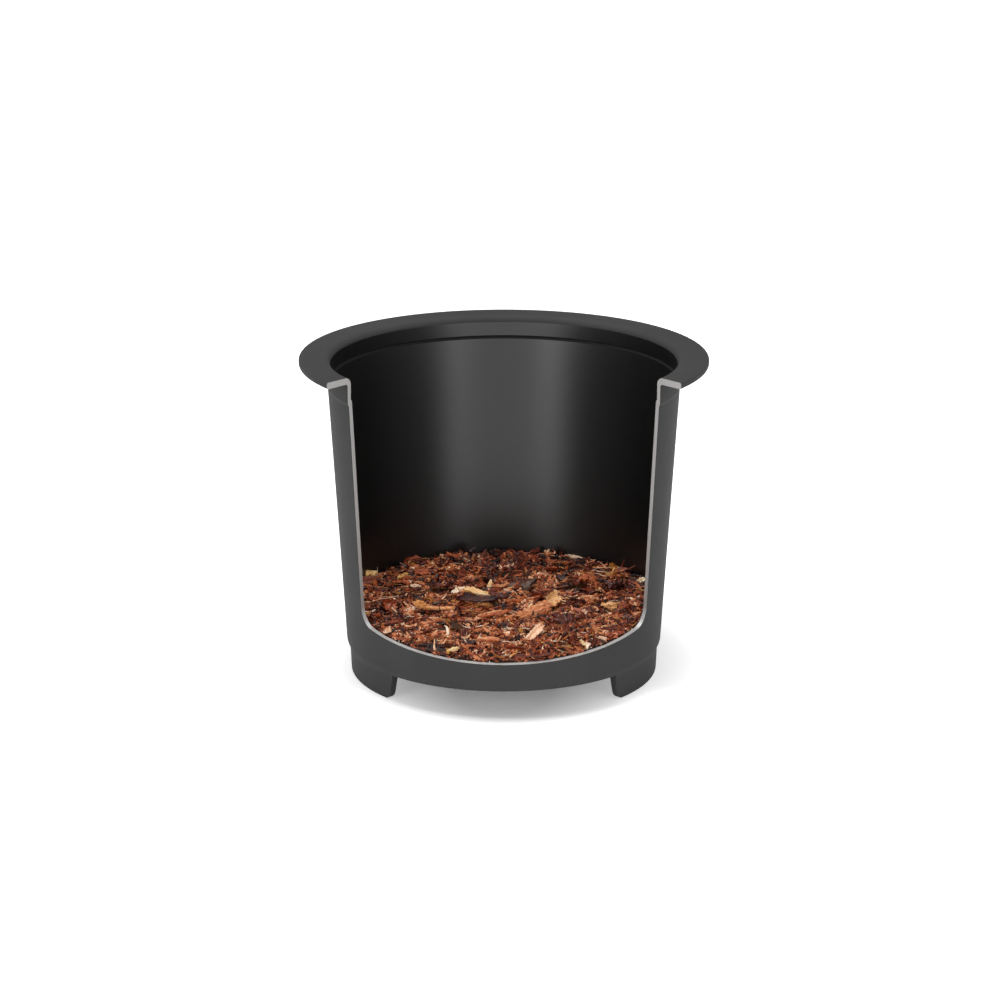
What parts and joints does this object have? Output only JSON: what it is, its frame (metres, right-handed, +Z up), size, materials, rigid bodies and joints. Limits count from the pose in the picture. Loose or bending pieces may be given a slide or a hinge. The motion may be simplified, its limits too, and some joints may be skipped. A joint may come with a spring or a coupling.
{
  "type": "food waste composter bucket",
  "caption": "Cutaway processing bucket of an electric food waste composter: flanged cast pot on two wide feet, a stirring blade on a sealed spindle, and a bed of dried residue.",
  "frame": {"origin": "on the spindle axis, at the plane that the feet stand on", "axes": "+Z up along the spindle, -Y out through the cutaway window, +X to the right of a viewer in front of the window"},
  "size_m": [0.216, 0.1934, 0.172],
  "materials": {
    "coated_aluminium": "satin",
    "cast_aluminium": "matte",
    "cast_steel": "satin",
    "steel": "satin",
    "bronze": "satin",
    "seal_rubber": "matte",
    "residue": "matte"
  },
  "bodies": {
    "pot": {"bucket": "coated_aluminium", "bearing_block": "cast_aluminium", "block_gasket": "seal_rubber", "block_rivets": "steel", "lower_bush": "bronze", "upper_bush": "bronze", "shaft_seal": "seal_rubber", "garter_spring": "steel", "residue_bed": "residue"},
    "agitator": {"drive_spindle": "steel", "spindle_washer": "steel", "retaining_ring": "steel", "drive_coupling": "cast_steel", "coupling_pin": "steel", "thrust_washer": "bronze", "stirring_blade": "cast_steel", "nut_seal": "seal_rubber", "blade_washer": "steel", "cap_nut": "steel"}
  },
  "joints": [
    {"name": "blade_spin", "type": "hinge", "parent": "pot", "child": "agitator", "pos_m": [0, 0, 0.0232], "axis": [0, 0, 1], "continuous": true}
  ]
}
